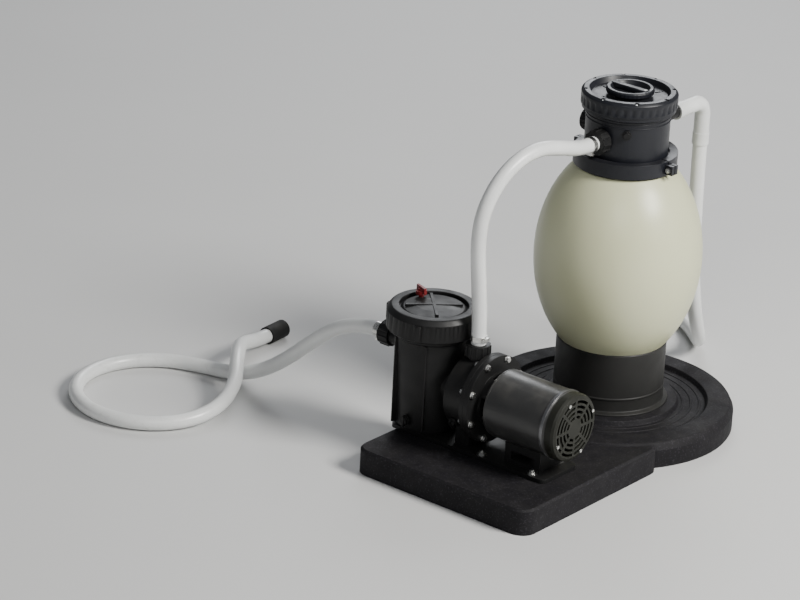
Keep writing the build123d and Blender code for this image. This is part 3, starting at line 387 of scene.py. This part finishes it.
def turned(name, profile, at, along, slot, stands_for=(), segments=128, closed=True, wave=None):
    """A piece on the fixed body that is one turned form about an axis through a point."""
    mesh_data = bmesh.new()
    add_turned(mesh_data, profile, frame_at(at, along), segments, closed, wave)
    return new_piece(name, mesh_data, "set", slot, stands_for)


def add_box(mesh_data, size, place, rounding, steps=2):
    """Adds a box with rounded edges, sizes in millimetres, centred on its place."""
    made = bmesh.ops.create_cube(mesh_data, size=1.0)
    verts = made["verts"]
    bmesh.ops.scale(mesh_data, vec=Vector(size) * MM, verts=verts)
    edges = list({edge for vert in verts for edge in vert.link_edges})
    made = bmesh.ops.bevel(
        mesh_data, geom=edges, offset=rounding * MM, segments=steps, profile=0.5, affect="EDGES",
    )
    moved = {vert for face in made["faces"] for vert in face.verts}
    moved |= {vert for vert in verts if vert.is_valid}
    bmesh.ops.transform(mesh_data, matrix=place, verts=list(moved))


def cut_away(piece, cutter):
    """Cuts the form in a second mesh out of a piece."""
    mesh = bpy.data.meshes.new("cutter")
    bmesh.ops.recalc_face_normals(cutter, faces=cutter.faces)
    cutter.to_mesh(mesh)
    cutter.free()
    tool = bpy.data.objects.new("cutter", mesh)
    bpy.context.scene.collection.objects.link(tool)
    modifier = piece.modifiers.new("cut", "BOOLEAN")
    modifier.object = tool
    graph = bpy.context.evaluated_depsgraph_get()
    result = bpy.data.meshes.new_from_object(piece.evaluated_get(graph))
    piece.modifiers.clear()
    piece.data = result
    result.set_sharp_from_angle(angle=SHARP_EDGE)
    bpy.data.objects.remove(tool)


def grooves(count, depth, low, high, beyond, sharpness, fade=0.1):
    """A wave that cuts grip grooves between two heights beyond a radius, and fades at their ends."""
    def wave(angle, radius, height):
        if radius < beyond or not low <= height <= high:
            return 0.0
        end = min(1.0, (height - low) / fade, (high - height) / fade)
        return -depth * end * (0.5 + 0.5 * cos(count * angle)) ** sharpness
    return wave


# ------------------------------------------------------------------ tank and foot
def egg_side(low, high, shrink=0.0):
    """Profile points up the side of the egg, or of a smaller egg inside it, between two heights."""
    steps = 40
    points = []
    for i in range(steps + 1):
        z = low + (high - low) * i / steps
        rise = (z - EGG_MIDDLE) / (EGG_HALF_HEIGHT - shrink)
        points.append(((EGG_RADIUS - shrink) * (1 - rise**2) ** 0.5, z, 0))
    return points


def tank():
    """The egg-shaped shell, hollow, with a collar that the valve clamps to."""
    outside = egg_side(166, 640)
    inside = egg_side(171, 635, shrink=6)
    rim = [
        (100, 642, 3), (100, 650, 1), (111, 650, 1.2), (111, 660, 1.2), (91, 660, 1), (91, 635, 3),
    ]
    base = [(10, 171, 0), (10, 166, 0)]
    profile = outside + rim + inside[::-1] + base
    turned("tank", profile, TANK, Z_DIR, "tank_cream", ["tank_shell"], segments=160)


def foot():
    """The round foot: a rolled rim, a groove with low rings in it, and a flat middle."""
    outside = [
        (0, 0, 0), (298, 0, 0), (300, 3, 2), (300, 44, 6), (291, 62, 9), (238, 62, 3), (232, 51, 3),
        (222, 50, 0.5), (221, 51.5, 0.5), (217, 51.5, 0.5), (216, 50, 0.5), (202, 50, 0.5),
        (201, 51.5, 0.5), (197, 51.5, 0.5), (196, 50, 0.5), (182, 50, 0.5), (181, 51.5, 0.5),
        (177, 51.5, 0.5), (176, 50, 0.5), (169, 50, 2), (165, 62, 3), (0, 62, 0),
    ]
    turned(
        "filter_base", outside, TANK, Z_DIR, "foot_black", ["filter_foot"], segments=160, closed=False,
    )


def pedestal():
    """The drum under the tank, with a flared foot, a bead and a seat for the egg."""
    profile = [
        (125, 62, 0), (142, 62, 1), (142, 66, 2), (130.5, 69, 3), (130, 96, 0.5), (131.2, 98, 0.6),
        (131.2, 101, 0.6), (130, 103, 0.5), (130, 209, 3), (127, 212, 2), (123, 212, 1), (123, 190, 2),
        (125, 180, 2),
    ]
    turned("tank_stand", profile, TANK, Z_DIR, "pedestal_grey", ["tank_pedestal"])


# ------------------------------------------------------------------ valve
def round_tank(count, radius):
    """Places on a circle round the tank's axis, at floor level, each turned to face outwards."""
    turns = [Matrix.Rotation(2 * pi * i / count, 4, "Z") for i in range(count)]
    return [Matrix.Translation(TANK) @ turn @ Matrix.Translation((radius, 0, 0)) for turn in turns]


def valve_top():
    """The wide cover: a grooved skirt, a rolled edge, screw wells and a dish for the knob."""
    skirt = [(112, z, 0) for z in (790.6, 792, 794, 796.5, 801, 806, 808, 810, 811.9)]
    profile = [
        (86, 788.4, 0), (112, 788.4, 1.2), *skirt, (112, 818, 4), (106, 824, 5), (93, 824, 3),
        (88, 811, 3), (70, 809.8, 2), (15, 809.8, 1), (8.1, 809.8, 0.5), (8.1, 796, 0.5),
        (15, 796, 0.5), (15, 804, 1), (70, 804, 2), (86, 797, 2),
    ]
    cover = turned(
        "valve_lid", profile, TANK, Z_DIR, "valve_black", ["valve_cover"], segments=288,
        wave=grooves(36, depth=2.0, low=790.5, high=812, beyond=108, sharpness=2.0, fade=6),
    )
    wells = bmesh.new()
    well = [(0, 817.9, 0), (5.2, 817.9, 0), (5.2, 830, 0), (0, 830, 0)]
    for place in round_tank(8, COVER_SCREW_CIRCLE):
        add_turned(wells, well, place, 32)
    cut_away(cover, wells)


def screws():
    """Slotted screws in the cover's wells, each stopped at its own angle."""
    mesh_data = bmesh.new()
    slots = bmesh.new()
    head = [(0, 818, 0), (4.7, 818, 0), (4.7, 819.6, 1.2), (3.2, 821.4, 2), (0, 821.6, 0)]
    slot_shape = Matrix.Translation((0, 0, 0.8216)) @ Matrix.Diagonal((0.0120, 0.0012, 0.0026, 1))
    for turn, place in enumerate(round_tank(8, COVER_SCREW_CIRCLE)):
        add_turned(mesh_data, head, place, 32)
        stopped = Matrix.Rotation(radians(35 * turn), 4, "Z")
        bmesh.ops.create_cube(slots, size=1.0, matrix=place @ stopped @ slot_shape)
    heads = new_piece("lid_screws", mesh_data, "set", "steel", ["cover_screws"])
    cut_away(heads, slots)


def knob():
    """A round knob with a bar, a hollow on each side of it, and a white pointer."""
    mesh_data = bmesh.new()
    profile = [
        (8.1, 814.8, 0), (51, 814.8, 2), (56, 818, 2), (56, 826.5, 2), (53, 829.6, 2), (46, 829.6, 2),
        (40, 818.8, 3), (8.1, 818.8, 0),
    ]
    grip = grooves(36, depth=0.8, low=817, high=828, beyond=54, sharpness=1.5)
    add_turned(mesh_data, profile, frame_at(TANK, Z_DIR), 144, closed=True, wave=grip)
    bar_at = TANK + Vector((0, 0, 0.8238))
    add_box(mesh_data, (101, 18, 15.4), Matrix.Translation(bar_at), rounding=3.5, steps=3)
    new_piece("knob", mesh_data, "knob", "valve_black", ["selector_knob"])
    pointer = bmesh.new()
    arrow = [(0, 0, 0), (6, 0, 0), (5.6, 0.3, 0), (0, 0.3, 0)]
    arrow_at = TANK + Vector((0.043, 0, 0.8313))
    add_turned(pointer, arrow, frame_at(arrow_at, Z_DIR), segments=3)
    new_piece("knob_pointer", pointer, "knob", "inner_white")


def port_marks():
    """Raised bars in the dish, each with a stub, one for each of the valve's six positions."""
    mesh_data = bmesh.new()
    bar_at = Matrix.Translation((0, 0, 0.8102))
    stub_at = Matrix.Translation((0.0115, 0, 0.8104))
    for place in round_tank(6, MARK_CIRCLE):
        add_box(mesh_data, (13, 5, 2.4), place @ bar_at, rounding=0.8)
        add_box(mesh_data, (4, 1.6, 2.0), place @ stub_at, rounding=0.4)
    new_piece("port_marks", mesh_data, "set", "valve_black")


def neck_rings():
    """Two raised rings round the valve's body, under its cover."""
    mesh_data = bmesh.new()
    for low in (757.5, 766.0):
        ring = [(97.5, low, 0), (99.4, low, 0.7), (99.4, low + 3.2, 0.7), (97.5, low + 3.2, 0)]
        add_turned(mesh_data, ring, frame_at(TANK, Z_DIR), 160, closed=True)
    new_piece("neck_rings", mesh_data, "set", "valve_black")


def dial_marks():
    """Ticks over three quarters of the gauge's dial, a longer one at each fifth."""
    mesh_data = bmesh.new()
    out = Matrix.Translation(TANK + Vector((0, 0, GAUGE_HEIGHT))) @ Matrix.Rotation(GAUGE_TURN, 4, "Z")
    long_tick, short_tick = (0.24, 0.8, 4.2), (0.24, 0.45, 2.2)
    for tick in range(31):
        size = short_tick if tick % 5 else long_tick
        turn = Matrix.Rotation(radians(135 + 9 * tick), 4, "X")
        place = out @ Matrix.Translation((DIAL_FACE, 0, 0)) @ turn
        place = place @ Matrix.Translation((0, 0, TICK_END - size[2] * MM / 2))
        add_box(mesh_data, size, place, rounding=0.08, steps=1)
    new_piece("dial_marks", mesh_data, "set", "pump_black")


# ------------------------------------------------------------------ strainer
def strainer_top():
    """The ring that holds the strainer's lid: a grooved skirt and four grip lugs."""
    ring = [
        (92.4, 311, 0), (106, 311, 1.5), (108, 313, 1.5), (108, 354, 7), (99, 366, 7), (80, 366, 2),
        (79, 364, 1), (79, 357.4, 0.5), (90.4, 357.4, 0.5), (90.4, 337, 0.5), (92.4, 337, 0.5),
    ]
    mesh_data = bmesh.new()
    grip = grooves(32, depth=2.6, low=314, high=352, beyond=104, sharpness=1.5)
    add_turned(mesh_data, ring, frame_at(POT, Z_DIR), 256, closed=True, wave=grip)
    lug_at = Matrix.Translation((0.108, 0, 0.3325))
    for turn in range(20, 380, 90):
        place = Matrix.Translation(POT) @ Matrix.Rotation(radians(turn), 4, "Z")
        add_box(mesh_data, (10, 14, 39), place @ lug_at, rounding=2.5, steps=3)
    new_piece("strainer_ring", mesh_data, "ring", "pump_black", ["lid_ring"])


def motor_tube():
    """The motor's drawn tube: a pressed front wall, and a bead near the rear with a band of lighter steel on it
    that is a painted highlight.
    """
    tube = [
        (24, 62, 0.5), (80, 62, 2), (80, 66, 0.5), (79.4, 67, 0.5), (80, 68, 0.5), (80, 220, 0.5),
        (81.4, 221.5, 0.8), (81.4, 231.5, 0.8), (80, 233, 0.5), (80, 236, 0.8), (76, 236, 0.5),
        (76, 66, 1), (24, 66, 0.5), (24, 76, 0.5), (18, 76, 0.5), (18, 62, 0.5),
    ]
    turned("motor_tube", tube, SHAFT, X_DIR, "motor_grey", ["motor_shell"])
    # painted highlight: a thin band of lighter steel over the bead stands in for the soft highlight near the
    # tube's rear
    highlight_band = [(81.45, 222.4, 0.3), (81.9, 223, 0.3), (81.9, 230, 0.3), (81.45, 230.6, 0.3)]
    turned("motor_bead_painted_highlight", highlight_band, SHAFT, X_DIR, "core_steel")


def bolt_circle():
    """Hexagon bolts with washers and nuts round the pump's flange."""
    washer = [(0, 0, 0), (8.6, 0, 0), (8.6, 1.6, 0.4), (0, 1.6, 0)]
    head = [(0, 1.6, 0), (7.5, 1.6, 0), (7.5, 6.2, 0), (6.3, 7.2, 0), (0, 7.4, 0)]
    shank = [(0, 0, 0), (4, 0, 0), (4, -28, 0), (0, -28, 0)]
    nut = [(0, -24.5, 0), (7.5, -24.5, 0), (7.5, -31, 0), (0, -31, 0)]
    mesh_data = bmesh.new()
    for turn in range(8):
        angle = radians(22.5 + 45 * turn)
        outwards = Vector((0, sin(angle), cos(angle)))
        spot = SHAFT + X_DIR * FLANGE_FACE + outwards * FLANGE_BOLT_CIRCLE
        place = frame_at(spot, X_DIR)
        for profile, segments in ((washer, 40), (head, 6), (shank, 24), (nut, 6)):
            add_turned(mesh_data, profile, place, segments)
    new_piece("ring_bolts", mesh_data, "set", "steel", ["flange_bolts"])


tank()
foot()
pedestal()
valve_top()
screws()
knob()
port_marks()
neck_rings()
dial_marks()
motor_tube()
strainer_top()
bolt_circle()


# ------------------------------------------------------------------ hoses
def hose(name, route, stands_for):
    """A round hose on one smooth curve through its route."""
    curve = bpy.data.curves.new(name, "CURVE")
    curve.dimensions = "3D"
    spline = curve.splines.new("NURBS")
    spline.points.add(len(route) - 1)
    for point, place in zip(spline.points, route):
        point.co = (*place, 1.0)
    spline.order_u = 3
    spline.use_endpoint_u = True
    spline.resolution_u = 12
    curve.bevel_depth = HOSE_DIAMETER / 2
    curve.bevel_resolution = 7
    curve.use_fill_caps = True
    piece = bpy.data.objects.new(name, curve)
    bpy.context.scene.collection.objects.link(piece)
    dress(piece, "hose_white")
    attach(piece, "set")
    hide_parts(stands_for)


hose("transfer_line", TRANSFER_ROUTE, "transfer_hose")
hose(
    "suction_line", SUCTION_ROUTE, "suction_hose",
)
hose(
    "return_line", RETURN_ROUTE, "return_hose",
)


# ------------------------------------------------------------------ stage
def stage_floor():
    """A plain pale floor, far wider than the view."""
    mesh = bpy.data.meshes.new("floor")
    reach = 12
    corners = [(-reach, -reach, 0), (reach, -reach, 0), (reach, reach, 0), (-reach, reach, 0)]
    mesh.from_pydata(corners, [], [(0, 1, 2, 3)])
    floor = bpy.data.objects.new("floor", mesh)
    bpy.context.scene.collection.objects.link(floor)
    g = Graph("floor_paint")
    g.colour(g.blend(g.noise(1.5, 3.0), (0.60, 0.60, 0.595), (0.63, 0.63, 0.625)))
    g.rough(g.noise(5.0), 0.75, 0.9)
    floor.data.materials.append(g.material)


def area_light(name, place, target, size, power, colour=(1, 1, 1)):
    """A round soft light that faces its target."""
    data = bpy.data.lights.new(name, "AREA")
    data.shape = "DISK"
    data.size = size
    data.energy = power
    data.color = colour
    light = bpy.data.objects.new(name, data)
    light.location = place
    light.rotation_euler = (Vector(target) - Vector(place)).to_track_quat("-Z", "Y").to_euler()
    bpy.context.scene.collection.objects.link(light)


def studio():
    """A dim cool surround, a warm key from the right, a weak front light and a cool rim light."""
    world = bpy.data.worlds.new("studio")
    world.use_nodes = True
    background = world.node_tree.nodes["Background"]
    background.inputs["Color"].default_value = (0.92, 0.95, 1.0, 1.0)
    background.inputs["Strength"].default_value = 0.18
    bpy.context.scene.world = world
    area_light("key", (4.6, 0.6, 4.2), (0, 0, 0.35), size=2.2, power=600, colour=(1.0, 0.985, 0.95))
    area_light("front", (3.4, -4.8, 4.6), (0, 0, 0.3), size=3.0, power=90)
    area_light("rim", (-2.6, 3.8, 3.4), (0, 0, 0.5), size=2.5, power=110, colour=(0.95, 0.97, 1.0))


def camera():
    """Stands at the right front of the set and looks down on it."""
    place = Vector((4.725, -6.57, 3.656))
    target = Vector((-0.392, -0.112, 0.255))
    roll = radians(3.0)
    data = bpy.data.cameras.new("camera")
    data.lens = 170
    data.sensor_width = 36
    eye = bpy.data.objects.new("camera", data)
    turn = (target - place).to_track_quat("-Z", "Y").to_matrix().to_4x4()
    eye.matrix_world = Matrix.Translation(place) @ turn @ Matrix.Rotation(roll, 4, "Z")
    bpy.context.scene.collection.objects.link(eye)
    bpy.context.scene.camera = eye


stage_floor()
studio()
camera()
